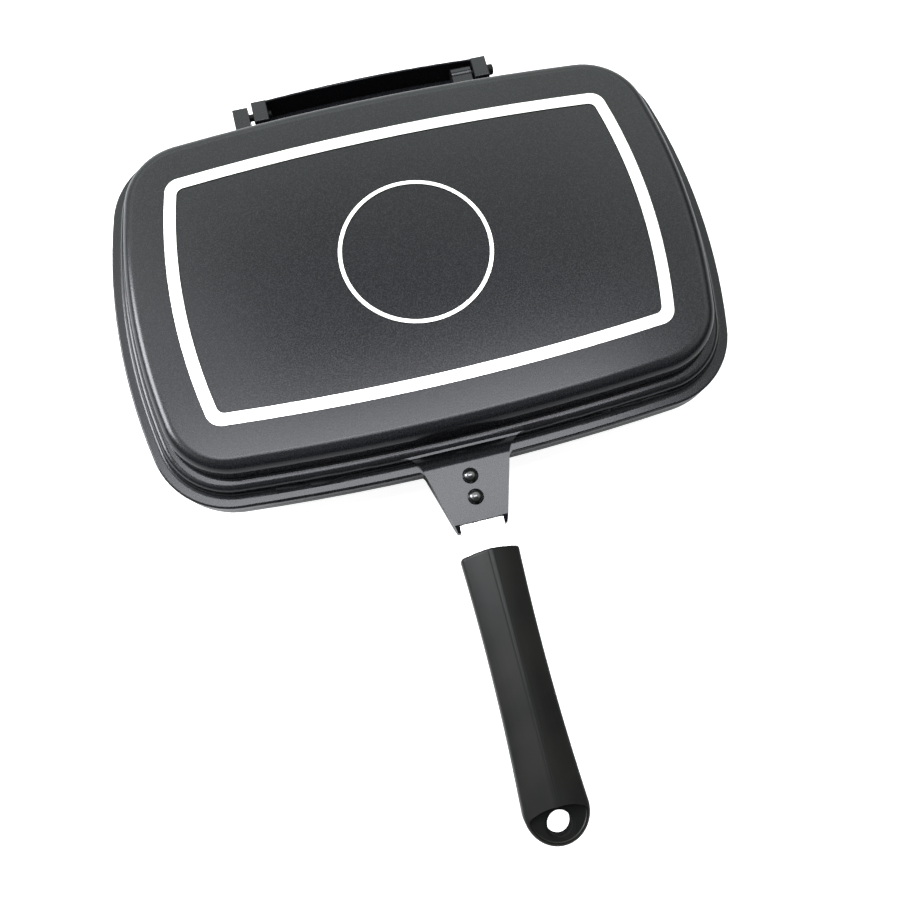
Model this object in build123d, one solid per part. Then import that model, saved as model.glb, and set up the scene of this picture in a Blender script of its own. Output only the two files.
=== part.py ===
from build123d import *
import math
import os

# Double sided flip pan: two cast pans that close rim to rim, hinged along the back long side, each
# with a riveted steel shank and a half handle. Millimetres. Origin: middle of the lower pan's base,
# on the plane it stands on; +X along the pan, +Y towards the hinge, -Y towards the handles, +Z up.

# ------------------------------------------------------------------ driving sizes: pan outline
rim_half_length = 162.8           # X, centre to the middle of a short side
rim_half_width = 110.0            # Y, centre to the middle of a long side
rim_corner_radius = 43.5
short_side_arc_offset = 165.0     # the bulged short side's arc centre, beyond the pan's centre
long_side_arc_offset = 1219.5     # the bulged long side's arc centre, beyond the pan's centre

# ------------------------------------------------------------------ driving sizes: pan section
pan_height = 31.75                # ground to the plane midway between the two rims
rim_gap = 0.6                     # left open between the two rims, closed by the seal
wall = 3.0
floor_thickness = 3.2
flange_thickness = 6.45
flange_round = 1.2
ledge_inset = 7.2                 # rim edge to the outside of the upper wall
ledge_depth = 8.5                 # height of the upper wall, flange to ledge
ledge_corner_radius = 38.0
ledge_round = 3.5
wall_inset = 13.0                 # rim edge to the outside of the lower wall
wall_corner_radius = 36.0
wall_lean = 1.2                   # the lower wall leans in by this from ledge to base
base_round = 7.0                  # outside rounding between wall and base
cavity_round = 4.5                # inside rounding between wall and floor
root_round = 1.2                  # casting fillet in the outside corner of wall and ledge
flange_root_round = 3.0           # and of wall and flange
land_height = 0.5                 # machined lands stand this proud of the base
band_inset = 36.6                 # rim edge to the outside of the rectangular land
band_width = 6.1
band_corner_radius = 8.5
band_inner_corner_radius = 4.5
ring_radius = 40.0                # outside of the round land
ring_width = 2.0

# ------------------------------------------------------------------ driving sizes: rim seal
seal_inset = 4.4                  # rim edge to the outside of the groove
seal_groove_width = 3.2
seal_groove_depth = 2.0
seal_clearance = 0.05             # seal to groove wall
seal_air = 0.3                    # seal to the other rim

# ------------------------------------------------------------------ driving sizes: tang
tang_root_half_width = 22.6       # at the rim
tang_end_half_width = 14.0
tang_length = 29.7                # beyond the rim
tang_ear_length = 3.8             # side walls run on past the deck
tang_ear_drop = 3.6               # and slope down by this
tang_rim_flare = 6.2              # plan rounding where the side walls meet the rim
tang_wall_flare = 10.0            # plan rounding where the deck meets the pan's wall
tang_wall = 2.7
deck_thickness = 3.5
deck_depth = 7.45                 # rim face to the outside of the deck
shank_side_room = 0.1             # shank to the tang's side walls
shank_end_room = 1.0              # shank to the tang's root
tang_web_radius = 6.9             # concave web from the deck up the pan's wall
tang_bury = 1.2                   # the tang's deck and web run this far into the pan's wall

# ------------------------------------------------------------------ driving sizes: shank and rivets
shank_width = 22.4
shank_thickness = 2.5
shank_start = 3.5                 # beyond the rim
shank_end_from_tip = 65.0         # short of the handle's tip
shank_corner_round = 2.5
rivet_first = 6.5                 # beyond the rim
rivet_pitch = 11.2
rivet_radius = 2.5
rivet_head_radius = 4.2
rivet_head_height = 2.8
rivet_tail_radius = 3.8
rivet_tail_height = 1.1
rivet_tail_round = 0.35
fastener_clearance = 0.05

# ------------------------------------------------------------------ driving sizes: half handle
handle_start = 45.0               # beyond the rim
handle_length = 141.0
handle_start_half_width = 15.2
handle_waist_half_width = 13.85
handle_waist = 56.0               # from the handle's start
handle_end_radius = 15.9
handle_height = 14.5
handle_side_height = 6.0          # upright part of the side
handle_edge_round = 3.0           # between side and facet
handle_crown_round = 4.0
handle_start_round = 1.4          # round the pan end
handle_start_bow = 1.8            # the pan end swells this much at its middle
handle_sections = 4               # stretches that the grip is lofted in
handle_facet_bulge = 0.7          # each facet's swell over a flat
ridge_start_width = 2.8
ridge_end_width = 1.0
ridge_height = 0.22               # over the crown, whose shape it follows
hole_radius = 6.0                 # hanging hole
hole_from_tip = 9.7
hole_countersink = 1.4            # at the dish's floor
scoop_from_tip = 19.0             # dish round the hanging hole: its edge across the crown
scoop_edge_radius = 24.0          # that edge, seen from above
scoop_rim = 1.5                   # left standing round the tip
scoop_corner_radius = 3.0
scoop_floor = 6.0                 # from the mating face
scoop_round = 1.2
pocket_clearance = 0.1

# ------------------------------------------------------------------ driving sizes: handle fixings
screw_first = 15.0                # from the handle's start
screw_last = 10.0                 # from the shank's end
screw_radius = 2.0
screw_length = 9.5                # under the head
screw_head_radius = 3.6
screw_head_height = 1.3
screw_head_round = 0.4
screw_slot_width = 1.0
screw_slot_depth = 0.6
insert_radius = 3.5
insert_length = 8.0
insert_tip_room = 1.0             # hole runs on past the insert for the screw's point

# ------------------------------------------------------------------ driving sizes: magnets
magnet_from_tip = 45.0
magnet_radius = 7.0
magnet_thickness = 5.0
magnet_cover_radius = 8.5
magnet_cover_thickness = 1.2
magnet_cover_chamfer = 0.3
magnet_clearance = 0.05

# ------------------------------------------------------------------ driving sizes: hinge
axis_from_rim = 9.8               # hinge axis beyond the rim, on the plane between the rims
pin_radius = 2.0
pin_chamfer = 0.4
pin_clearance = 0.05              # running fit, on the radius
pin_seat_clearance = 0.02         # fixed end, on the radius
barrel_radius = 4.2               # upper pan's lugs, round the axis
upper_lug_top = 4.2               # above the axis
hook_lug_top = 3.4                # above the axis, for the lug that works inside the drip tray
lower_lug_top = 4.5               # above the axis
lower_lug_front = 6.3             # before the axis
lower_lug_back = 7.0              # behind the axis
lug_width = 8.8
hook_lug_width = 11.5
lug_gap = 2.4                     # between the left pair
hook_gap = 1.5                    # between the right pair
tray_half_length = 61.0           # between the lower lugs
tray_shift = 1.0                  # the tray's middle, along the pan from the pan's own
pin_stub = 1.8                    # the left pin shows past the lower lug
pin_head_radius = 3.0             # the right pin's head, past the lower lug
pin_head_length = 3.4
pin_head_round = 0.9
pin_head_play = 0.1               # head to lug, along the axis
pin_recess = 1.2                  # fixed end lies this deep inside its lug
tray_bulge = 2.2                  # the tray's outer edge swells this much at its middle
tray_wall = 1.5
tray_edge_round = 0.5             # along the top of the outer wall
tray_bury = 1.6                   # the tray runs this far into each lower lug
tray_set_back = 0.3               # its outer face and its edge, from the lugs'
tray_round = 1.8                  # outside rounding between wall and floor
tray_floor = 2.2
tray_bottom_depth = 12.0          # rim face to the underside of the tray
lug_round = 0.8
lug_bury = 3.8                    # upper lug runs this far into the flange

# ------------------------------------------------------------------ drawing aids
overshoot = 3.0                   # cuts run this far past the faces they open
touch = 0.01                      # places closer than this count as one

# ------------------------------------------------------------------ worked out from the above
rim_z = pan_height - rim_gap / 2
flange_z = rim_z - flange_thickness
ledge_z = flange_z - ledge_depth
base_z = land_height
floor_z = base_z + floor_thickness
deck_z = rim_z - deck_depth
shank_z = deck_z + deck_thickness
shank_top_z = shank_z + shank_thickness
front_y = -rim_half_width
handle_y = front_y - handle_start
tip_y = handle_y - handle_length
shank_start_y = front_y - shank_start
shank_end_y = tip_y + shank_end_from_tip
hole_y = tip_y + hole_from_tip
magnet_y = tip_y + magnet_from_tip
crown_z = rim_z - handle_height
axis_y = rim_half_width + axis_from_rim
axis_z = pan_height
tray_bottom_z = rim_z - tray_bottom_depth
tray_root_y = rim_half_width - wall_inset
lower_left = (tray_shift - tray_half_length - lug_width, tray_shift - tray_half_length)
upper_left = (lower_left[0] - lug_gap - lug_width, lower_left[0] - lug_gap)
lower_right = (tray_shift + tray_half_length, tray_shift + tray_half_length + lug_width)
hook_right = (lower_right[0] - hook_gap - hook_lug_width, lower_right[0] - hook_gap)


# ------------------------------------------------------------------ shared helpers
def outline(inset, corner_radius):
    """The pan's bulged rectangle, drawn in from the rim edge: eight arcs, all tangent."""
    half_x = rim_half_length - inset
    half_y = rim_half_width - inset
    side_radius = half_x + short_side_arc_offset
    long_radius = half_y + long_side_arc_offset
    reach = math.hypot(short_side_arc_offset, long_side_arc_offset)
    side_reach = side_radius - corner_radius
    long_reach = long_radius - corner_radius
    along = (side_reach ** 2 - long_reach ** 2 + reach ** 2) / (2 * reach)
    across = math.sqrt(side_reach ** 2 - along ** 2)
    ux = short_side_arc_offset / reach
    uy = -long_side_arc_offset / reach
    corner_x = -short_side_arc_offset + along * ux - across * uy
    corner_y = along * uy + across * ux
    side_angle = math.atan2(corner_y, corner_x + short_side_arc_offset)
    long_angle = math.atan2(corner_y + long_side_arc_offset, corner_x)
    mid_angle = (side_angle + long_angle) / 2

    def on_corner(angle, sign_x, sign_y):
        return (sign_x * (corner_x + corner_radius * math.cos(angle)),
                sign_y * (corner_y + corner_radius * math.sin(angle)))

    edges = []
    for sign in (1, -1):
        edges.append(ThreePointArc(on_corner(side_angle, sign, -1), (sign * half_x, 0),
                                   on_corner(side_angle, sign, 1)))
        edges.append(ThreePointArc(on_corner(long_angle, 1, sign), (0, sign * half_y),
                                   on_corner(long_angle, -1, sign)))
        for other in (1, -1):
            edges.append(ThreePointArc(on_corner(side_angle, sign, other),
                                       on_corner(mid_angle, sign, other),
                                       on_corner(long_angle, sign, other)))
    return make_face(edges)


def prism(face, low, high):
    """A face on the ground plane raised into a solid between two heights."""
    return Pos(0, 0, low) * extrude(face, high - low, dir=(0, 0, 1))


def rod_z(radius, x, y, low, high):
    """Upright round bar between two heights."""
    return Pos(x, y, (low + high) / 2) * Cylinder(radius, high - low)


def rod_x(radius, y, z, left, right):
    """Round bar along X between two ends."""
    return Pos((left + right) / 2, y, z) * Rot(0, 90, 0) * Cylinder(radius, right - left)


def block(x_range, y_range, z_range):
    """Box between three pairs of limits."""
    centre = [(low + high) / 2 for low, high in (x_range, y_range, z_range)]
    size = [high - low for low, high in (x_range, y_range, z_range)]
    return Pos(*centre) * Box(*size)


def across_x(points, x_range):
    """A profile in the YZ plane carried along X."""
    face = make_face(Polyline(*[(x_range[0], y, z) for y, z in points], close=True))
    return extrude(face, x_range[1] - x_range[0], dir=(1, 0, 0))


def drafted(low_face, high_face, low, high):
    """A straight-sided solid between one outline at the low height and another at the high one."""
    return loft([Pos(0, 0, low) * low_face, Pos(0, 0, high) * high_face], ruled=True)


def lowest_edges(solid):
    return solid.edges().group_by(Axis.Z)[0]


def highest_edges(solid):
    return solid.edges().group_by(Axis.Z)[-1]


def flipped(solid):
    """The upper pan's copy of a lower piece, mirrored in the plane between the rims."""
    return mirror(solid, about=Plane.XY.offset(pan_height))


# ------------------------------------------------------------------ cast pans
def shell_outside():
    """Base, stepped wall and rim flange, as one closed body before it is hollowed."""
    foot = outline(wall_inset + wall_lean, wall_corner_radius - wall_lean)
    lower_wall = drafted(foot, outline(wall_inset, wall_corner_radius), base_z, ledge_z)
    lower_wall = fillet(lowest_edges(lower_wall), base_round)
    upper_wall = prism(outline(ledge_inset, ledge_corner_radius), ledge_z, rim_z)
    upper_wall = fillet(lowest_edges(upper_wall), ledge_round)
    flange = prism(outline(0, rim_corner_radius), flange_z, rim_z)
    flange = fillet(lowest_edges(flange), flange_round)
    body = lower_wall + upper_wall + flange
    wall_root = [edge for edge in body.edges() if lies_on_outline(edge, wall_inset, ledge_z)]
    body = fillet(wall_root, root_round)
    flange_root = [edge for edge in body.edges() if lies_on_outline(edge, ledge_inset, flange_z)]
    return fillet(flange_root, flange_root_round)


def lies_on_outline(edge, inset, height):
    """True for a side of the outline drawn at this inset and height, told by the edge's middle."""
    middle = edge.position_at(0.5)
    half_x = math.hypot(abs(middle.X) + short_side_arc_offset, middle.Y) - short_side_arc_offset
    half_y = math.hypot(middle.X, abs(middle.Y) + long_side_arc_offset) - long_side_arc_offset
    on_short_side = abs(half_x - rim_half_length + inset) < touch
    on_long_side = abs(half_y - rim_half_width + inset) < touch
    return abs(middle.Z - height) < touch and (on_short_side or on_long_side)


def cavity():
    """The cooking space: a lower part and a wider upper part that follow the stepped wall."""
    top = rim_z + overshoot
    foot = outline(wall_inset + wall_lean + wall, wall_corner_radius - wall_lean - wall)
    mouth = outline(wall_inset + wall, wall_corner_radius - wall)
    lower = fillet(lowest_edges(drafted(foot, mouth, floor_z, ledge_z + wall)), cavity_round)
    upper = prism(outline(ledge_inset + wall, ledge_corner_radius - wall), ledge_z + wall, top)
    return lower + upper


def seal_groove():
    outer = outline(seal_inset, rim_corner_radius - seal_inset)
    inner = outline(seal_inset + seal_groove_width, rim_corner_radius - seal_inset - seal_groove_width)
    return prism(outer - inner, rim_z - seal_groove_depth, rim_z + overshoot)


def base_lands():
    """Machined rectangular band and ring that the pan stands on, rooted in the base."""
    band = (outline(band_inset, band_corner_radius)
            - outline(band_inset + band_width, band_inner_corner_radius))
    ring = make_face(Circle(ring_radius).edges()) - make_face(Circle(ring_radius - ring_width).edges())
    rooted_z = base_z + floor_thickness / 2
    return prism(band, 0, rooted_z) + prism(ring, 0, rooted_z)


def tang_plan(length, root_y, flare_radius, shrink=0):
    """The tang seen from above: a taper, flared with round corners where it meets the line root_y."""
    slope = (tang_root_half_width - tang_end_half_width) / tang_length
    root = tang_root_half_width - shrink + slope * (root_y - front_y)
    tip = tang_root_half_width - shrink - slope * length
    taper = make_face(Polyline((-root, root_y), (-tip, front_y - length), (tip, front_y - length),
                               (root, root_y), close=True))
    if not flare_radius:
        return taper
    shoulder_width = 2 * (root + 2 * flare_radius)
    plan = taper + Pos(0, root_y + flare_radius / 2) * Rectangle(shoulder_width, flare_radius)
    concave = plan.vertices().filter_by(lambda v: abs(v.Y - root_y) < touch and abs(v.X) < root + touch)
    return fillet(concave, flare_radius)


def tang():
    """Channel-shaped arm cast on the front of the pan; the shank is riveted inside it."""
    root_y = front_y + ledge_inset + tang_bury
    ear_length = tang_length + tang_ear_length
    deck = prism(tang_plan(ear_length, root_y, tang_wall_flare), deck_z, flange_z + root_round)
    sides = prism(tang_plan(ear_length, front_y + 2 * flange_round, tang_rim_flare), flange_z, rim_z)
    body = deck + sides + tang_web()
    body = body - tang_hollow(shank_start_y + shank_end_room, shank_z)
    return body - tang_hollow(front_y - tang_length, deck_z - overshoot) - ear_slopes()


def ear_slopes():
    """Cutter that slopes the tang's two ears down from the deck's level."""
    start_y = front_y - tang_length
    reach = tang_ear_length + overshoot
    end_z = deck_z + tang_ear_drop * reach / tang_ear_length
    profile = [(start_y, deck_z), (start_y, deck_z - overshoot), (start_y - reach, deck_z - overshoot),
               (start_y - reach, end_z)]
    return across_x(profile, (-tang_root_half_width, tang_root_half_width))


def tang_hollow(start_y, low):
    """Room between the tang's side walls, from start_y out past its end and up from a height."""
    length = tang_length + 2 * tang_ear_length
    taper = prism(tang_plan(length, start_y, 0, tang_wall), low, rim_z + overshoot)
    half_slot = shank_width / 2 + shank_side_room
    slot = block((-half_slot, half_slot), (front_y - length, start_y), (low, rim_z + overshoot))
    return taper + slot


def tang_web():
    """Concave web that carries the tang's deck up into the pan's wall."""
    wall_y = front_y + ledge_inset
    inner_y = wall_y + tang_bury
    inner_z = deck_z + deck_thickness / 2
    radius = tang_web_radius
    half_x = rim_half_length / 2
    diagonal = radius * math.sqrt(0.5)
    foot = (-half_x, wall_y - radius, deck_z)
    above_foot = (-half_x, wall_y - radius, inner_z)
    corner = (-half_x, inner_y, inner_z)
    top = (-half_x, inner_y, deck_z - radius)
    crest = (-half_x, wall_y, deck_z - radius)
    bend = (-half_x, wall_y - radius + diagonal, deck_z - radius + diagonal)
    profile = make_face([Line(foot, above_foot), Line(above_foot, corner), Line(corner, top),
                         Line(top, crest), ThreePointArc(crest, bend, foot)])
    web = extrude(profile, 2 * half_x, dir=(1, 0, 0))
    return web & prism(tang_plan(tang_length, inner_y, tang_wall_flare), 0, rim_z)


def pan_casting():
    """What both pans share: shell, lands, tang and rivet holes."""
    body = shell_outside() + tang() + base_lands() - cavity()
    for place in rivet_places():
        body = body - rod_z(rivet_radius + fastener_clearance, 0, place, deck_z - overshoot, rim_z)
    return body


# ------------------------------------------------------------------ hinge
def lower_lug(x_range):
    """Upright block that carries one end of the hinge on the lower pan."""
    root_y, front, back = tray_root_y, axis_y - lower_lug_front, axis_y + lower_lug_back
    lug = across_x([(root_y, tray_bottom_z), (back, tray_bottom_z), (back, axis_z + lower_lug_top),
                    (front, axis_z + lower_lug_top), (front, rim_z), (root_y, rim_z)], x_range)
    lug = fillet(highest_edges(lug), lug_round)
    return lug - pin_hole(pin_radius + pin_clearance, x_range)


def upper_lug(x_range, top, square_back):
    """Arm from the upper rim that ends in a barrel round the axis."""
    seat_z = 2 * pan_height - rim_z
    arm = block(x_range, (rim_half_width - lug_bury, axis_y), (seat_z, axis_z + top))
    barrel = rod_x(barrel_radius, axis_y, axis_z, *x_range)
    lug = arm + barrel
    if square_back:
        lug = lug + block(x_range, (axis_y, axis_y + barrel_radius), (axis_z, axis_z + top))
    return lug - pin_hole(pin_radius + pin_seat_clearance, x_range)


def pin_hole(radius, x_range):
    """Cutter for a hinge pin's hole right through a lug."""
    return rod_x(radius, axis_y, axis_z, x_range[0] - overshoot, x_range[1] + overshoot)


def tray_plan(edge_y, left, right, inner_y):
    """The tray seen from above: three straight sides and a back edge that swells at its middle."""
    return make_face([
        ThreePointArc((left, edge_y), ((left + right) / 2, edge_y + tray_bulge), (right, edge_y)),
        Line((right, edge_y), (right, inner_y)), Line((right, inner_y), (left, inner_y)),
        Line((left, inner_y), (left, edge_y))])


def drip_tray():
    """Trough between the lower lugs: a floor and an outer wall."""
    left, right = lower_left[1] - tray_bury, lower_right[0] + tray_bury
    edge_y = axis_y + lower_lug_back - tray_set_back
    edge_z = axis_z + lower_lug_top - tray_set_back
    outside = prism(tray_plan(edge_y, left, right, tray_root_y), tray_bottom_z, edge_z)
    outside = fillet(lowest_edges(outside).filter_by(GeomType.CIRCLE), tray_round)
    plan = tray_plan(edge_y - tray_wall, left - overshoot, right + overshoot, tray_root_y - overshoot)
    inside = prism(plan, tray_bottom_z + tray_floor, edge_z + overshoot)
    trough = outside - inside
    return fillet(highest_edges(trough).filter_by(GeomType.CIRCLE), tray_edge_round)


# ------------------------------------------------------------------ pans
def make_lower_pan():
    return pan_casting() - seal_groove()


def make_drip_tray():
    """The lower pan's hinge lugs and the trough between them, seated on the pan's rim flange."""
    return drip_tray() + lower_lug(lower_left) + lower_lug(lower_right) - shell_outside()


def make_upper_pan():
    pan = flipped(pan_casting())
    return pan + upper_lug(upper_left, upper_lug_top, True) + upper_lug(hook_right, hook_lug_top, False)


def make_seal():
    """Endless rim seal that sits in the lower pan's groove."""
    inset = seal_inset + seal_clearance
    width = seal_groove_width - 2 * seal_clearance
    outer = outline(inset, rim_corner_radius - inset)
    inner = outline(inset + width, rim_corner_radius - inset - width)
    return prism(outer - inner, rim_z - seal_groove_depth, 2 * pan_height - rim_z - seal_air)


def hinge_pin(seat, bearing, stub):
    """Steel pin fixed in an upper lug; its free end turns in the lower lug and shows past it."""
    pin = rod_x(pin_radius, axis_y, axis_z, seat[0] + pin_recess, bearing[1] + stub)
    return chamfer(pin.edges().filter_by(GeomType.CIRCLE), pin_chamfer)


def headed_pin(seat, bearing):
    """Hinge pin with a rounded head past the lower lug."""
    head_x = bearing[1] + pin_head_play
    head = rod_x(pin_head_radius, axis_y, axis_z, head_x, head_x + pin_head_length)
    head = fillet(head.edges().filter_by(GeomType.CIRCLE).sort_by(Axis.X)[-1], pin_head_round)
    return hinge_pin(seat, bearing, pin_head_play + pin_head_length / 2) + head


# ------------------------------------------------------------------ shank and rivets
def rivet_places():
    return [front_y - rivet_first, front_y - rivet_first - rivet_pitch]


def screw_places():
    return [handle_y - screw_first, shank_end_y + screw_last]


def make_shank():
    """Flat steel strip that joins the tang to the handle."""
    strip = block((-shank_width / 2, shank_width / 2), (shank_end_y, shank_start_y), (shank_z, shank_top_z))
    strip = fillet(strip.edges().filter_by(Axis.Z), shank_corner_round)
    holes = [(place, rivet_radius) for place in rivet_places()]
    holes += [(place, screw_radius) for place in screw_places()]
    for place, radius in holes:
        strip = strip - rod_z(radius + fastener_clearance, 0, place,
                              shank_z - overshoot, shank_top_z + overshoot)
    return strip


def one_rivet(y):
    """Domed head outside the deck, round body, flat formed tail on the shank."""
    dome_radius = (rivet_head_radius ** 2 + rivet_head_height ** 2) / (2 * rivet_head_height)
    dome = (Pos(0, y, deck_z - rivet_head_height + dome_radius) * Sphere(dome_radius)
            & rod_z(rivet_head_radius, 0, y, deck_z - rivet_head_height, deck_z))
    body = rod_z(rivet_radius, 0, y, deck_z - rivet_head_height / 2, shank_top_z + rivet_tail_height / 2)
    tail = rod_z(rivet_tail_radius, 0, y, shank_top_z, shank_top_z + rivet_tail_height)
    return dome + body + fillet(highest_edges(tail), rivet_tail_round)


# ------------------------------------------------------------------ half handle
def handle_half_width(y):
    """Half width of the handle at y: one arc through the start, the waist and the tip's widest place."""
    end_y = tip_y + handle_end_radius
    waist_y = handle_y - handle_waist
    side = ThreePointArc((handle_start_half_width, handle_y), (handle_waist_half_width, waist_y),
                         (handle_end_radius, end_y))
    centre, radius = side.arc_center, side.radius
    return centre.X - math.sqrt(radius ** 2 - (y - centre.Y) ** 2)


def handle_profile(half_width):
    """Section across the handle, drawn from the mating face outwards: upright sides, swelled facets."""
    crown_x = half_width / 2
    bulge = (handle_side_height + handle_height) / 2 + handle_facet_bulge
    face = make_face([
        Line((-half_width, 0), (half_width, 0)),
        Line((half_width, 0), (half_width, handle_side_height)),
        ThreePointArc((half_width, handle_side_height), (crown_x, bulge), (0, handle_height)),
        ThreePointArc((0, handle_height), (-crown_x, bulge), (-half_width, handle_side_height)),
        Line((-half_width, handle_side_height), (-half_width, 0))])
    crown = face.vertices().filter_by(lambda v: abs(v.X) < touch)
    face = fillet(crown, handle_crown_round)
    shoulders = face.vertices().filter_by(lambda v: abs(v.Y - handle_side_height) < touch)
    return fillet(shoulders, handle_edge_round)


def handle_solid():
    """The handle's outside: sections lofted along it, and the last one turned round for the tip."""
    end_y = tip_y + handle_end_radius
    sections = []
    for step in range(handle_sections + 1):
        y = handle_y + (end_y - handle_y) * step / handle_sections
        plane = Plane(origin=(0, y, rim_z), x_dir=(1, 0, 0), z_dir=(0, 1, 0))
        sections.append(plane * handle_profile(handle_half_width(y)))
    grip = loft(sections)
    plane = Plane(origin=(0, end_y, rim_z), x_dir=(1, 0, 0), z_dir=(0, 1, 0))
    half = handle_profile(handle_end_radius) & (
        Pos(handle_end_radius, 0) * Rectangle(2 * handle_end_radius, 4 * handle_height))
    tip = revolve(plane * half, Axis((0, end_y, rim_z), (0, 0, 1)), -180)
    body = (grip + tip) & bowed_start()
    start_edges = [edge for edge in body.faces().sort_by(Axis.Y)[-1].edges()
                   if edge.position_at(0.5).Z < rim_z - touch]
    return fillet(start_edges, handle_start_round)


def bowed_start():
    """Block over the whole handle whose pan end is an arc, seen from above."""
    half = 2 * handle_start_half_width
    corner_y = handle_y - handle_start_bow * (half / handle_start_half_width) ** 2
    end_y = tip_y - overshoot
    plan = make_face([ThreePointArc((-half, corner_y), (0, handle_y), (half, corner_y)),
                      Line((half, corner_y), (half, end_y)), Line((half, end_y), (-half, end_y)),
                      Line((-half, end_y), (-half, corner_y))])
    return prism(plan, crown_z - overshoot, rim_z)


def handle_ridge():
    """Narrow raised line that follows the crown and fades towards the tip."""
    ridge_end_y = tip_y + scoop_from_tip - scoop_round
    ridge_start_y = handle_y - 2 * handle_start_round
    plan = make_face(Polyline((-ridge_start_width / 2, ridge_start_y),
                              (ridge_start_width / 2, ridge_start_y),
                              (ridge_end_width / 2, ridge_end_y), (-ridge_end_width / 2, ridge_end_y),
                              close=True))
    band = prism(plan, crown_z - handle_height, (crown_z + rim_z) / 2)
    return Pos(0, 0, -ridge_height) * handle_solid() & band


def scoop():
    """Cutter for the dish round the hanging hole: it follows the tip and ends across the crown."""
    edge_y = tip_y + scoop_from_tip - scoop_edge_radius
    plan = (Pos(0, tip_y + handle_end_radius) * Circle(handle_end_radius - scoop_rim)
            & Pos(0, edge_y) * Circle(scoop_edge_radius))
    plan = fillet(plan.vertices(), scoop_corner_radius)
    dish = prism(plan, crown_z - handle_height, rim_z - scoop_floor)
    return fillet(highest_edges(dish), scoop_round)


def hanging_hole():
    """Cutter for the hanging hole, opened out where it meets the dish."""
    floor_z = rim_z - scoop_floor
    flare = Cone(hole_radius + hole_countersink, hole_radius, hole_countersink)
    flare = Pos(0, hole_y, floor_z + hole_countersink / 2) * flare
    return flare + rod_z(hole_radius, 0, hole_y, crown_z - overshoot, rim_z + overshoot)


def make_handle():
    """Phenolic half handle with a shank channel, insert holes, magnet pocket and hanging hole."""
    top = rim_z + overshoot
    body = handle_solid() + handle_ridge() - scoop()
    body = body - hanging_hole()
    half_channel = shank_width / 2 + pocket_clearance
    body = body - block((-half_channel, half_channel),
                        (shank_end_y - pocket_clearance, handle_y + overshoot), (shank_z, top))
    insert_end_z = shank_z - insert_length
    for place in screw_places():
        body = body - rod_z(insert_radius + fastener_clearance, 0, place, insert_end_z, top)
        body = body - rod_z(screw_radius + fastener_clearance, 0, place, insert_end_z - insert_tip_room, top)
    cover_z = rim_z - magnet_cover_thickness
    body = body - rod_z(magnet_cover_radius + magnet_clearance, 0, magnet_y, cover_z, top)
    return body - rod_z(magnet_radius + magnet_clearance, 0, magnet_y, cover_z - magnet_thickness, top)


def one_insert(y):
    """Brass insert moulded into the handle for a shank screw."""
    body = rod_z(insert_radius, 0, y, shank_z - insert_length, shank_z)
    return body - rod_z(screw_radius + fastener_clearance, 0, y,
                        shank_z - insert_length - overshoot, shank_z + overshoot)


def one_screw(y):
    """Slotted pan head screw on the shank, running into its insert."""
    head_z = shank_top_z + screw_head_height
    shaft = rod_z(screw_radius, 0, y, shank_top_z - screw_length, shank_top_z + screw_head_height / 2)
    head = rod_z(screw_head_radius, 0, y, shank_top_z, head_z)
    head = fillet(highest_edges(head), screw_head_round)
    slot = block((-screw_head_radius - overshoot, screw_head_radius + overshoot),
                 (y - screw_slot_width / 2, y + screw_slot_width / 2),
                 (head_z - screw_slot_depth, head_z + overshoot))
    return shaft + head - slot


def make_magnet():
    top = rim_z - magnet_cover_thickness
    return rod_z(magnet_radius, 0, magnet_y, top - magnet_thickness, top)


def make_magnet_cover():
    cover = rod_z(magnet_cover_radius, 0, magnet_y, rim_z - magnet_cover_thickness, rim_z)
    return chamfer(highest_edges(cover), magnet_cover_chamfer)


# ------------------------------------------------------------------ write one file per piece
def write(name, solids):
    solids = solids if isinstance(solids, list) else [solids]
    shape = solids[0] if len(solids) == 1 else Compound(children=solids)
    export_step(shape, os.path.join("parts", name + ".step"))


def main():
    os.makedirs("parts", exist_ok=True)
    write("lower_pan", make_lower_pan())
    write("upper_pan", make_upper_pan())
    write("rim_seal", make_seal())
    write("drip_tray", make_drip_tray())
    write("left_hinge_pin", hinge_pin(upper_left, lower_left, pin_stub))
    write("right_hinge_pin", headed_pin(hook_right, lower_right))
    pairs = {
        "shank": [make_shank()],
        "tang_rivets": [one_rivet(y) for y in rivet_places()],
        "handle": [make_handle()],
        "handle_inserts": [one_insert(y) for y in screw_places()],
        "handle_screws": [one_screw(y) for y in screw_places()],
        "magnet": [make_magnet()],
        "magnet_cover": [make_magnet_cover()],
    }
    for name, solids in pairs.items():
        write("lower_" + name, solids)
        write("upper_" + name, [flipped(solid) for solid in solids])


main()
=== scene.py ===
"""Dresses a double sided flip pan: two coated castings hinged rim to rim, each with a half handle.

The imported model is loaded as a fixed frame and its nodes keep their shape. This file gives every node
its finish, adds the floor, the lights and the camera. Lengths are in metres
and angles in degrees.
"""

from __future__ import annotations

import logging
import math
from dataclasses import dataclass, field
from enum import Enum

import bpy
from mathutils import Euler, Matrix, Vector

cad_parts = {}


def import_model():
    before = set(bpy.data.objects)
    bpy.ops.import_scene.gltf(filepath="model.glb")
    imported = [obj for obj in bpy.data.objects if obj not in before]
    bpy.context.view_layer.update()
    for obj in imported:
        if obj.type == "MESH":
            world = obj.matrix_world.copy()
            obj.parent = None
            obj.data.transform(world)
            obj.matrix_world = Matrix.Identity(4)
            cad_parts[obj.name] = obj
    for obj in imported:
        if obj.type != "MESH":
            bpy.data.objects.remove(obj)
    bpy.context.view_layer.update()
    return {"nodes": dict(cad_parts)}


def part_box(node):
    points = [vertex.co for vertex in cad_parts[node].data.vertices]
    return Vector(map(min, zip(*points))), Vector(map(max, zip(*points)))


LOG = logging.getLogger("flip_pan")
MM = 0.001

Colour = tuple[float, float, float]
Point = tuple[float, float, float]
Span = tuple[float, float]
Socket = bpy.types.NodeSocket

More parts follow.
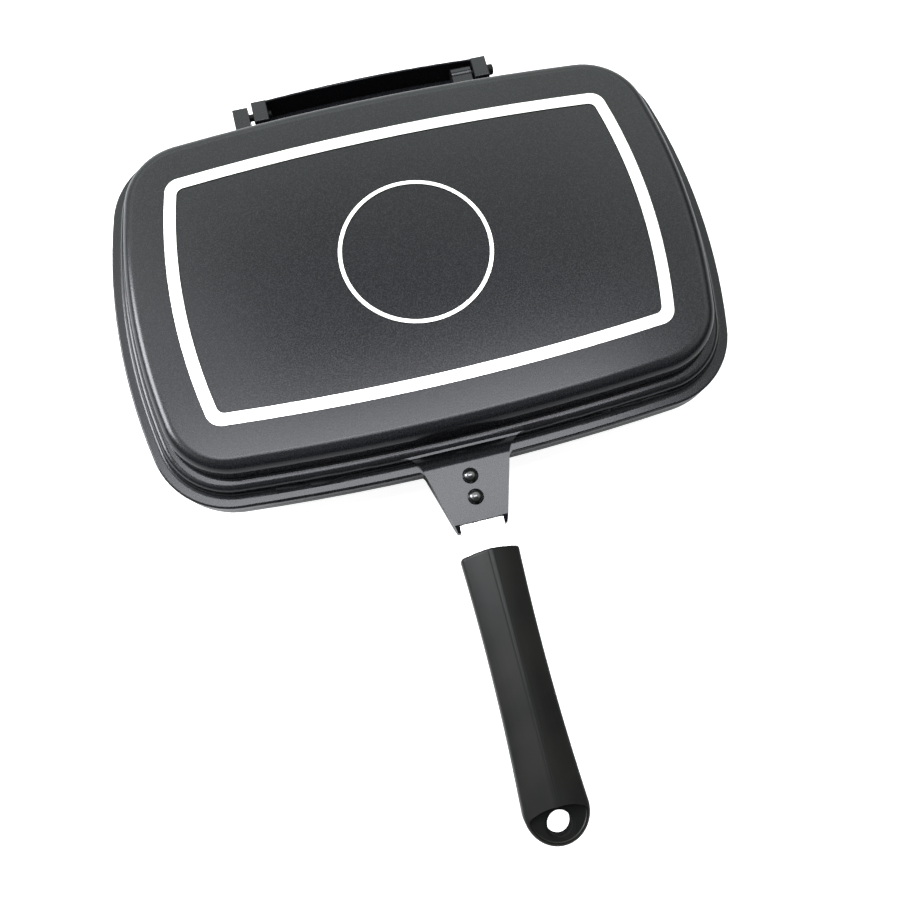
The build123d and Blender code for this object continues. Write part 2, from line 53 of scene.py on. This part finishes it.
WHITE: Colour = (1.0, 1.0, 1.0)
WHOLE: Span = (0.0, 1.0)
NOISE_BODY: Span = (0.3, 0.7)  # nearly all of a noise's values lie in here


# ------------------------------------------------------------------ node trees
class Grain(Enum):
    """The way a fine pattern runs over a surface."""

    EVEN = (1.0, 1.0, 1.0)
    ALONG_Y = (1.0, 0.02, 1.0)


class NodeBoard:
    """A node tree, with short ways to add and join its nodes."""

    def __init__(self, tree: bpy.types.NodeTree, coordinates: str) -> None:
        """Takes a tree and picks the coordinates that its patterns follow.

        Args:
            tree: The node tree.
            coordinates: Name of the Texture Coordinate output.
        """
        self.tree = tree
        self.place = tree.nodes.new("ShaderNodeTexCoord").outputs[coordinates]

    def feed(self, value: Socket | float, target: Socket) -> None:
        """Joins a socket to a target, or writes a plain number into it.

        Args:
            value: An output socket or a number.
            target: The input socket.
        """
        if isinstance(value, bpy.types.NodeSocket):
            self.tree.links.new(value, target)
        else:
            target.default_value = value

    def math(self, operation: str, first: Socket | float, second: Socket | float = 0.0) -> Socket:
        """A Math node.

        Args:
            operation: Blender's name of the operation.
            first: The first value.
            second: The second value.

        Returns:
            The result's socket.
        """
        node = self.tree.nodes.new("ShaderNodeMath")
        node.operation = operation
        self.feed(first, node.inputs[0])
        self.feed(second, node.inputs[1])
        return node.outputs[0]

    def reach(self, along: Socket, across: Socket) -> Socket:
        """Length of a flat vector: the root of the sum of its two squares.

        Args:
            along: The first part.
            across: The second part.

        Returns:
            The length's socket.
        """
        squares = (self.math("POWER", side, 2.0) for side in (along, across))
        return self.math("SQRT", self.math("ADD", *squares))

    def stretched(self, grain: Grain) -> Socket:
        """The tree's coordinates, drawn out along the grain.

        Args:
            grain: The way the pattern runs.

        Returns:
            The coordinates' socket.
        """
        node = self.tree.nodes.new("ShaderNodeMapping")
        node.inputs["Scale"].default_value = grain.value
        self.feed(self.place, node.inputs["Vector"])
        return node.outputs["Vector"]

    def noise(self, spot: float, detail: float = 2.0, grain: Grain = Grain.EVEN) -> Socket:
        """Cloudy noise about 0.5.

        Args:
            spot: Size of one spot in metres.
            detail: How many finer layers it has.
            grain: The way it is drawn out.

        Returns:
            The noise value's socket.
        """
        node = self.tree.nodes.new("ShaderNodeTexNoise")
        node.inputs["Scale"].default_value = 1.0 / spot
        node.inputs["Detail"].default_value = detail
        place = self.place if grain is Grain.EVEN else self.stretched(grain)
        self.feed(place, node.inputs["Vector"])
        return node.outputs["Fac"]

    def remap(self, value: Socket, span: Span, onto: Span) -> Socket:
        """Carries a value from one span to another and stops at its ends.

        Args:
            value: The value's socket.
            span: Start and end of the old span.
            onto: Start and end of the new span.

        Returns:
            The new value's socket.
        """
        node = self.tree.nodes.new("ShaderNodeMapRange")
        self.feed(value, node.inputs["Value"])
        for name, number in zip(("From Min", "From Max", "To Min", "To Max"), (*span, *onto)):
            node.inputs[name].default_value = number
        return node.outputs["Result"]

    def blend(self, share: Socket, first: Socket | Colour, second: Socket | Colour) -> Socket:
        """Mixes two colours.

        Args:
            share: How much of the second colour shows.
            first: The first colour.
            second: The second colour.

        Returns:
            The mixed colour's socket.
        """
        node = self.tree.nodes.new("ShaderNodeMix")
        node.data_type = "RGBA"
        self.feed(share, node.inputs["Factor"])
        for value, target in ((first, node.inputs["A"]), (second, node.inputs["B"])):
            self.feed(value if isinstance(value, bpy.types.NodeSocket) else (*value, 1.0), target)
        return node.outputs["Result"]

    def split(self, vector: Socket) -> bpy.types.NodeOutputs:
        """The X, Y and Z of a vector.

        Args:
            vector: The vector's socket.

        Returns:
            Its three parts, by name.
        """
        node = self.tree.nodes.new("ShaderNodeSeparateXYZ")
        self.feed(vector, node.inputs[0])
        return node.outputs

    def camera_sees(self) -> Socket:
        """1 where the camera looks straight at the surface, 0 for reflections and for the light it gives."""
        return self.tree.nodes.new("ShaderNodeLightPath").outputs["Is Camera Ray"]


class FinishBoard(NodeBoard):
    """A new material with its Principled shader."""

    def __init__(self, name: str) -> None:
        """Starts the material; its patterns follow Object coordinates.

        Args:
            name: The material's name.
        """
        self.material = bpy.data.materials.new(name)
        self.material.use_nodes = True
        super().__init__(self.material.node_tree, "Object")
        self.shader = self.tree.nodes["Principled BSDF"]

    def emboss(self, height: Socket, depth: float, strength: float) -> None:
        """Raises the surface by a pattern.

        Args:
            height: The pattern from 0 to 1.
            depth: What 1 stands for, in metres.
            strength: How much of it shows.
        """
        node = self.tree.nodes.new("ShaderNodeBump")
        node.inputs["Distance"].default_value = depth
        node.inputs["Strength"].default_value = strength
        self.feed(height, node.inputs["Height"])
        self.feed(node.outputs["Normal"], self.shader.inputs["Normal"])

    def set_shader(self, **values: Socket | float | Colour) -> None:
        """Writes or joins shader inputs, named in lower case with underscores.

        Args:
            values: Input names and what they take.
        """
        for name, value in values.items():
            target = self.shader.inputs[name.replace("_", " ").title().replace("Ior", "IOR")]
            self.feed((*value, 1.0) if isinstance(value, tuple) else value, target)


# ------------------------------------------------------------------ finishes
def about(middle: float, swing: Span) -> Span:
    """The span that lies about a middle value.

    Args:
        middle: The middle value.
        swing: How far the span's start and end are from it.

    Returns:
        The span.
    """
    return middle + swing[0], middle + swing[1]


@dataclass(frozen=True)
class CoatedCasting:
    """Dark speckled non-stick coating on cast aluminium, with the base lands machined bright."""

    name: str = "speckled_coating"
    coat: Colour = (0.0042, 0.0044, 0.0053)
    speck: Colour = (0.0135, 0.014, 0.016)
    speck_size: float = 0.55 * MM
    speck_span: Span = (0.46, 0.72)
    cloud_size: float = 60 * MM
    cloud_share: float = 0.22
    coat_roughness: float = 0.24
    coat_swing: Span = (-0.02, 0.03)
    coat_gloss: float = 0.25
    metal: Colour = (0.89, 0.88, 0.83)
    dull_metal: Colour = (0.72, 0.71, 0.69)
    smear_size: float = 3 * MM
    smear_span: Span = (0.35, 0.7)
    smear_share: float = 0.25
    metal_roughness: float = 0.34
    land_depth: float = 0.12 * MM
    ring_pitch: float = 0.36 * MM
    ring_share: float = 0.25
    relief: float = 0.02 * MM
    relief_strength: float = 0.35

    def build(self, low: float, high: float) -> bpy.types.Material:
        """Makes the material: coating all over, and turned metal at the heights of the lands.

        Args:
            low: Height of the lower lands.
            high: Height of the upper lands.

        Returns:
            The material.
        """
        board = FinishBoard(self.name)
        place = board.split(board.place)
        from_middle = board.math("ABSOLUTE", board.math("SUBTRACT", place["Z"], (low + high) / 2))
        land = board.math("GREATER_THAN", from_middle, (high - low) / 2 - self.land_depth)

        speckle = board.noise(self.speck_size, detail=1.0)
        cloud = board.remap(board.noise(self.cloud_size), NOISE_BODY, (0.0, self.cloud_share))
        coat = board.blend(board.remap(speckle, self.speck_span, WHOLE), self.coat, self.speck)
        coat = board.blend(cloud, coat, self.speck)
        coat_satin = board.remap(speckle, NOISE_BODY, about(self.coat_roughness, self.coat_swing))

        smear = board.noise(self.smear_size, detail=3.0)
        dulled = board.remap(smear, self.smear_span, (0.0, self.smear_share))
        metal = board.blend(dulled, self.metal, self.dull_metal)
        duller = board.math("MULTIPLY", land, self.metal_roughness - self.coat_roughness)
        rings = board.math("PINGPONG", board.reach(place["X"], place["Y"]), self.ring_pitch)
        rings = board.math("DIVIDE", rings, self.ring_pitch)

        board.set_shader(
            base_color=board.blend(land, coat, metal),
            metallic=land,
            specular_ior_level=self.coat_gloss,
            roughness=board.math("ADD", coat_satin, duller),
        )
        coat_height = board.math("MULTIPLY", speckle, board.math("SUBTRACT", 1.0, land))
        land_height = board.math("MULTIPLY", rings, board.math("MULTIPLY", land, self.ring_share))
        board.emboss(board.math("ADD", coat_height, land_height), self.relief, self.relief_strength)
        return board.material


@dataclass(frozen=True)
class BrushedSteel:
    """Steel with fine brush lines along one axis and faint dull stains."""

    name: str
    grain: Grain
    steel: Colour = (0.86, 0.86, 0.85)
    dull: Colour = (0.62, 0.62, 0.62)
    line: float = 0.16 * MM
    line_span: Span = (0.35, 0.65)
    line_share: Span = (0.5, 1.0)
    stain: float = 9 * MM
    stain_share: Span = (0.2, 0.8)
    roughness: float = 0.3
    swing: Span = (-0.06, 0.1)
    relief: float = 0.01 * MM
    relief_strength: float = 0.4

    def build(self) -> bpy.types.Material:
        """Makes the material.

        Returns:
            The material.
        """
        board = FinishBoard(self.name)
        lines = board.noise(self.line, detail=3.0, grain=self.grain)
        brushed = board.remap(lines, self.line_span, self.line_share)
        stained = board.remap(board.noise(self.stain, detail=3.0), NOISE_BODY, self.stain_share)
        board.set_shader(
            base_color=board.blend(board.math("MULTIPLY", brushed, stained), self.steel, self.dull),
            metallic=1.0,
            roughness=board.remap(lines, NOISE_BODY, about(self.roughness, self.swing)),
        )
        board.emboss(lines, self.relief, self.relief_strength)
        return board.material


@dataclass(frozen=True)
class BlackRivet:
    """Glossy black enamel on the rivets' heads, slightly worn in spots."""

    name: str = "rivet_enamel"
    enamel: Colour = (0.0012, 0.0012, 0.0014)
    worn: Colour = (0.004, 0.004, 0.0044)
    spot: float = 0.5 * MM
    spot_span: Span = (0.4, 0.7)
    gloss: float = 1.0
    roughness_span: Span = (0.18, 0.27)
    relief: float = 0.02 * MM
    relief_strength: float = 0.4

    def build(self) -> bpy.types.Material:
        """Makes the material.

        Returns:
            The material.
        """
        board = FinishBoard(self.name)
        mottle = board.noise(self.spot, detail=3.0)
        board.set_shader(
            base_color=board.blend(board.remap(mottle, self.spot_span, WHOLE), self.enamel, self.worn),
            specular_ior_level=self.gloss,
            roughness=board.remap(mottle, NOISE_BODY, self.roughness_span),
        )
        board.emboss(mottle, self.relief, self.relief_strength)
        return board.material


@dataclass(frozen=True)
class MouldedPhenolic:
    """Satin black phenolic, finely grained, with a groove each side of the crown's ridge; painted shade
    darkens the grooves and the dish floor.
    """

    name: str = "moulded_phenolic"
    body: Colour = (0.0026, 0.0027, 0.0026)
    bloom: Colour = (0.0058, 0.0056, 0.0042)
    # near-black painted shade for the grooves and the dish floor
    painted_recess_shade: Colour = (0.001, 0.001, 0.001)
    roughness: float = 0.42
    gloss: float = 0.22
    grain: float = 0.25 * MM
    grain_swing: Span = (-0.06, 0.06)
    grain_height: float = 0.3
    streak: float = 0.9 * MM
    streak_span: Span = (0.4, 0.7)
    streak_share: float = 0.3
    cloud: float = 22 * MM
    cloud_span: Span = (0.35, 0.7)
    cloud_share: float = 0.7
    cloud_swing: Span = (-0.04, 0.05)
    ridge_ends: Span = (-278.0 * MM, -157.8 * MM)
    ridge_half_widths: Span = (0.5 * MM, 1.4 * MM)
    groove_half_widths: Span = (0.14 * MM, 0.42 * MM)
    groove_share: float = 0.75
    dish_middle: tuple[float, float] = (-280.1 * MM, 31.75 * MM)
    dish_radius: float = 14.2 * MM
    dish_floor: float = 6.4 * MM
    relief: float = 0.10 * MM
    relief_strength: float = 0.5

    def groove(self, board: NodeBoard) -> Socket:
        """The fine grooves, highest where a point is as far from the crown as the tapered ridge's edge; the
        mask sinks them and paints shade into them.

        Args:
            board: The material's node tree.

        Returns:
            The mask's socket, from 0 to groove_share.
        """
        place = board.split(board.place)
        edge = board.remap(place["Y"], self.ridge_ends, self.ridge_half_widths)
        off_edge = board.math("ABSOLUTE", board.math("SUBTRACT", board.math("ABSOLUTE", place["X"]), edge))
        line = board.remap(off_edge, self.groove_half_widths, (1.0, 0.0))
        on_ridge = board.math("GREATER_THAN", place["Y"], self.ridge_ends[0])
        return board.math("MULTIPLY", board.math("MULTIPLY", line, on_ridge), self.groove_share)

    def dish(self, board: NodeBoard) -> Socket:
        """The floor of the dish round the hanging hole, where painted shade goes: 1 there, else 0.

        Args:
            board: The material's node tree.

        Returns:
            The mask's socket.
        """
        place = board.split(board.place)
        along = board.math("SUBTRACT", place["Y"], self.dish_middle[0])
        height = board.math("ABSOLUTE", board.math("SUBTRACT", place["Z"], self.dish_middle[1]))
        inside = board.math("LESS_THAN", board.reach(place["X"], along), self.dish_radius)
        return board.math("MULTIPLY", inside, board.math("LESS_THAN", height, self.dish_floor))

    def build(self) -> bpy.types.Material:
        """Makes the material.

        Returns:
            The material.
        """
        board = FinishBoard(self.name)
        fine = board.noise(self.grain)
        streaks = board.noise(self.streak, grain=Grain.ALONG_Y)
        cloud = board.noise(self.cloud, detail=3.0)
        groove = self.groove(board)
        # painted shade: the grooves and the dish floor take a near-black colour where shade would fall
        painted_shade_mask = board.math("MAXIMUM", groove, self.dish(board))
        clouded = board.remap(cloud, self.cloud_span, (0.0, self.cloud_share))
        streaked = board.remap(streaks, self.streak_span, (0.0, self.streak_share))
        skin = board.blend(board.math("ADD", clouded, streaked), self.body, self.bloom)
        grained = board.remap(fine, NOISE_BODY, about(self.roughness, self.grain_swing))
        satin = board.math("ADD", grained, board.remap(cloud, NOISE_BODY, self.cloud_swing))
        board.set_shader(
            base_color=board.blend(painted_shade_mask, skin, self.painted_recess_shade),
            specular_ior_level=self.gloss,
            roughness=board.math("MAXIMUM", satin, painted_shade_mask),
        )
        height = board.math("SUBTRACT", board.math("MULTIPLY", fine, self.grain_height), groove)
        board.emboss(height, self.relief, self.relief_strength)
        return board.material


@dataclass(frozen=True)
class PlainGrain:
    """A quiet finish for small or hidden pieces: one colour, lightly mottled and grained."""

    name: str
    body: Colour
    mottle: Colour
    roughness: float
    metallic: float = 0.0
    gloss: float = 0.5
    spot: float = 0.6 * MM
    spot_span: Span = (0.35, 0.7)
    swing: Span = (-0.05, 0.06)
    relief: float = 0.02 * MM
    relief_strength: float = 0.4

    def build(self) -> bpy.types.Material:
        """Makes the material.

        Returns:
            The material.
        """
        board = FinishBoard(self.name)
        spots = board.noise(self.spot, detail=3.0)
        board.set_shader(
            base_color=board.blend(board.remap(spots, self.spot_span, WHOLE), self.body, self.mottle),
            metallic=self.metallic,
            specular_ior_level=self.gloss,
            roughness=board.remap(spots, NOISE_BODY, about(self.roughness, self.swing)),
        )
        board.emboss(spots, self.relief, self.relief_strength)
        return board.material


PIN_BLACK = PlainGrain("blackened_pin", (0.003, 0.003, 0.003), (0.007, 0.007, 0.007), 0.5, gloss=0.1)
SILICONE = PlainGrain("black_silicone", (0.018, 0.018, 0.018), (0.028, 0.028, 0.028), 0.55)
STRIP_STEEL = BrushedSteel("polished_strip", Grain.ALONG_Y)
BRASS = PlainGrain("turned_brass", (0.62, 0.45, 0.18), (0.5, 0.36, 0.15), 0.32, metallic=1.0)
ZINC = PlainGrain("zinc_plate", (0.62, 0.62, 0.6), (0.48, 0.49, 0.5), 0.3, metallic=1.0)
FERRITE = PlainGrain("dark_ferrite", (0.045, 0.045, 0.047), (0.07, 0.07, 0.072), 0.6)
CAP_PLASTIC = PlainGrain("satin_cap", (0.016, 0.016, 0.017), (0.024, 0.024, 0.025), 0.4)


# ------------------------------------------------------------------ sub-assemblies
def dress(node: bpy.types.Object, material: bpy.types.Material) -> None:
    """Gives a node one material all over.

    Args:
        node: The node's object.
        material: What it is finished with.
    """
    for slot in node.material_slots:
        slot.material = material
    LOG.info("%s: finish %s", node.name, material.name)


@dataclass
class Castings:
    """The two pans, with their tangs, hinge lugs and drip tray."""

    nodes: dict[str, bpy.types.Object]
    finish: CoatedCasting = field(default_factory=CoatedCasting)

    def finish_all(self) -> None:
        """Coats both castings; the lands' heights come from the frame."""
        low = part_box("lower_pan")[0].z
        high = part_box("upper_pan")[1].z
        material = self.finish.build(low, high)
        for name in ("lower_pan", "upper_pan", "drip_tray"):
            dress(self.nodes[name], material)


@dataclass
class Hinge:
    """The two hinge pins."""

    nodes: dict[str, bpy.types.Object]
    finish: PlainGrain = PIN_BLACK

    def finish_all(self) -> None:
        """Blackens both pins."""
        material = self.finish.build()
        for name in ("left_hinge_pin", "right_hinge_pin"):
            dress(self.nodes[name], material)


@dataclass
class Seal:
    """The silicone rim seal."""

    nodes: dict[str, bpy.types.Object]
    finish: PlainGrain = SILICONE

    def finish_all(self) -> None:
        """Gives the seal its silicone."""
        dress(self.nodes["rim_seal"], self.finish.build())


@dataclass
class Shanks:
    """The steel strips between tang and handle, with their rivets."""

    nodes: dict[str, bpy.types.Object]
    strip: BrushedSteel = STRIP_STEEL
    rivets: BlackRivet = field(default_factory=BlackRivet)

    def finish_all(self) -> None:
        """Polishes the strips and blackens the rivets."""
        strip, enamel = self.strip.build(), self.rivets.build()
        for side in ("lower", "upper"):
            dress(self.nodes[side + "_shank"], strip)
            dress(self.nodes[side + "_tang_rivets"], enamel)


@dataclass
class Handles:
    """The half handles and what is fixed inside them."""

    nodes: dict[str, bpy.types.Object]
    grip: MouldedPhenolic = field(default_factory=MouldedPhenolic)
    insert: PlainGrain = BRASS
    screw: PlainGrain = ZINC
    magnet: PlainGrain = FERRITE
    cover: PlainGrain = CAP_PLASTIC

    def finish_all(self) -> None:
        """Finishes each handle piece, the same on both handles."""
        finishes = {
            "_handle": self.grip.build(),
            "_handle_inserts": self.insert.build(),
            "_handle_screws": self.screw.build(),
            "_magnet": self.magnet.build(),
            "_magnet_cover": self.cover.build(),
        }
        for side in ("lower", "upper"):
            for ending, material in finishes.items():
                dress(self.nodes[side + ending], material)


# ------------------------------------------------------------------ studio
@dataclass(frozen=True)
class Softbox:
    """One rectangular soft light, with its width and height in metres and its power in watts."""

    name: str
    place: Point
    aim: Point
    size: tuple[float, float]
    power: float

    def hang(self, tint: Colour) -> None:
        """Adds the light and turns it to its aim.

        Args:
            tint: The lamp's colour.
        """
        data = bpy.data.lights.new(self.name, "AREA")
        data.shape = "RECTANGLE"
        data.size, data.size_y = self.size
        data.energy = self.power
        data.color = tint
        lamp = bpy.data.objects.new(self.name, data)
        lamp.location = self.place
        lamp.rotation_euler = (Vector(self.aim) - Vector(self.place)).to_track_quat("-Z", "Y").to_euler()
        bpy.context.scene.collection.objects.link(lamp)


@dataclass
class Studio:
    """Pale floor, soft light and the camera over the pan."""

    floor_half: float = 4.0
    floor_drop: float = 0.3 * MM
    floor_colour: Colour = (0.5, 0.5, 0.5)
    floor_roughness: float = 0.9
    floor_glow: float = 0.9
    horizon: float = 0.12
    shoulder: float = 2.6
    shoulder_rise: Span = (0.42, 0.68)
    front_share: float = 0.15
    front_fade: Span = (-0.45, 0.0)
    back: float = 1.6
    back_rise: Span = (0.45, 0.9)
    zenith: float = 0.15
    zenith_fall: Span = (0.78, 0.90)
    surround_tint: Colour = (0.94, 1.0, 0.95)
    lamp_tint: Colour = (0.93, 0.945, 1.0)
    softboxes: tuple[Softbox, ...] = (
        Softbox("overhead", (-0.04, 0.12, 1.45), (-0.04, 0.0, 0.06), (1.22, 0.40), 24.5),
        Softbox("left_fill", (-0.45, 0.36, 1.06), (-0.14, -0.04, 0.06), (0.4, 0.4), 1.5),
        Softbox("left_key", (-0.99, 0.29, 0.63), (-0.14, -0.04, 0.06), (0.5, 0.45), 21.0),
    )
    camera_place: Point = (-34.92 * MM, -187.16 * MM, 427.44 * MM)
    camera_turn: Point = (13.1096, -0.9550, -13.9860)
    camera_near: float = 10 * MM
    focal_length: float = 30.983
    sensor: float = 36.0

    def lay_floor(self) -> None:
        """Lays a plain pale floor just under the lands, lifted to white where the camera looks at it."""
        half = self.floor_half
        corners = [(-half, -half), (half, -half), (half, half), (-half, half)]
        mesh = bpy.data.meshes.new("floor")
        mesh.from_pydata([(x, y, -self.floor_drop) for x, y in corners], [], [(0, 1, 2, 3)])
        floor = bpy.data.objects.new("floor", mesh)
        bpy.context.scene.collection.objects.link(floor)
        board = FinishBoard("pale_floor")
        board.set_shader(
            base_color=self.floor_colour,
            roughness=self.floor_roughness,
            emission_color=WHITE,
            emission_strength=board.math("MULTIPLY", board.camera_sees(), self.floor_glow),
        )
        mesh.materials.append(board.material)

    def glow(self, board: NodeBoard) -> Socket:
        """The surround's strength by direction: dim low down and overhead, bright between and at the back.

        Args:
            board: The surround's node tree.

        Returns:
            The strength's socket.
        """
        place = board.split(board.place)
        lifted = board.remap(place["Z"], self.shoulder_rise, (self.horizon, self.shoulder))
        faded = board.remap(place["Y"], self.front_fade, (self.front_share, 1.0))
        behind = board.remap(place["Y"], self.back_rise, (0.0, self.back))
        around = board.math("ADD", board.math("MULTIPLY", lifted, faded), behind)
        above = board.remap(place["Z"], self.zenith_fall, WHOLE)
        sides = board.math("MULTIPLY", around, board.math("SUBTRACT", 1.0, above))
        return board.math("ADD", sides, board.math("MULTIPLY", above, self.zenith))

    def light(self) -> None:
        """Sets the surround, white where the camera looks at it, and hangs the softboxes."""
        scene = bpy.context.scene
        scene.view_settings.view_transform = "Standard"
        world = bpy.data.worlds.new("surround")
        scene.world = world
        world.use_nodes = True
        board = NodeBoard(world.node_tree, "Generated")
        seen = board.camera_sees()
        backdrop = board.tree.nodes["Background"]
        board.feed(board.math("MAXIMUM", self.glow(board), seen), backdrop.inputs["Strength"])
        board.feed(board.blend(seen, self.surround_tint, WHITE), backdrop.inputs["Color"])
        for softbox in self.softboxes:
            softbox.hang(self.lamp_tint)

    def place_camera(self) -> None:
        """Puts the camera where the photograph was taken from."""
        data = bpy.data.cameras.new("camera")
        data.lens = self.focal_length
        data.sensor_width = self.sensor
        data.clip_start = self.camera_near
        camera = bpy.data.objects.new("camera", data)
        camera.location = self.camera_place
        camera.rotation_euler = Euler([math.radians(angle) for angle in self.camera_turn])
        bpy.context.scene.collection.objects.link(camera)
        bpy.context.scene.camera = camera


def main() -> None:
    """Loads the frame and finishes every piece."""
    logging.basicConfig(level=logging.INFO, format="%(message)s")
    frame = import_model()
    nodes = frame["nodes"]
    for part in (Castings(nodes), Hinge(nodes), Seal(nodes), Shanks(nodes), Handles(nodes)):
        part.finish_all()
    studio = Studio()
    studio.lay_floor()
    studio.light()
    studio.place_camera()


if __name__ == "__main__":
    main()
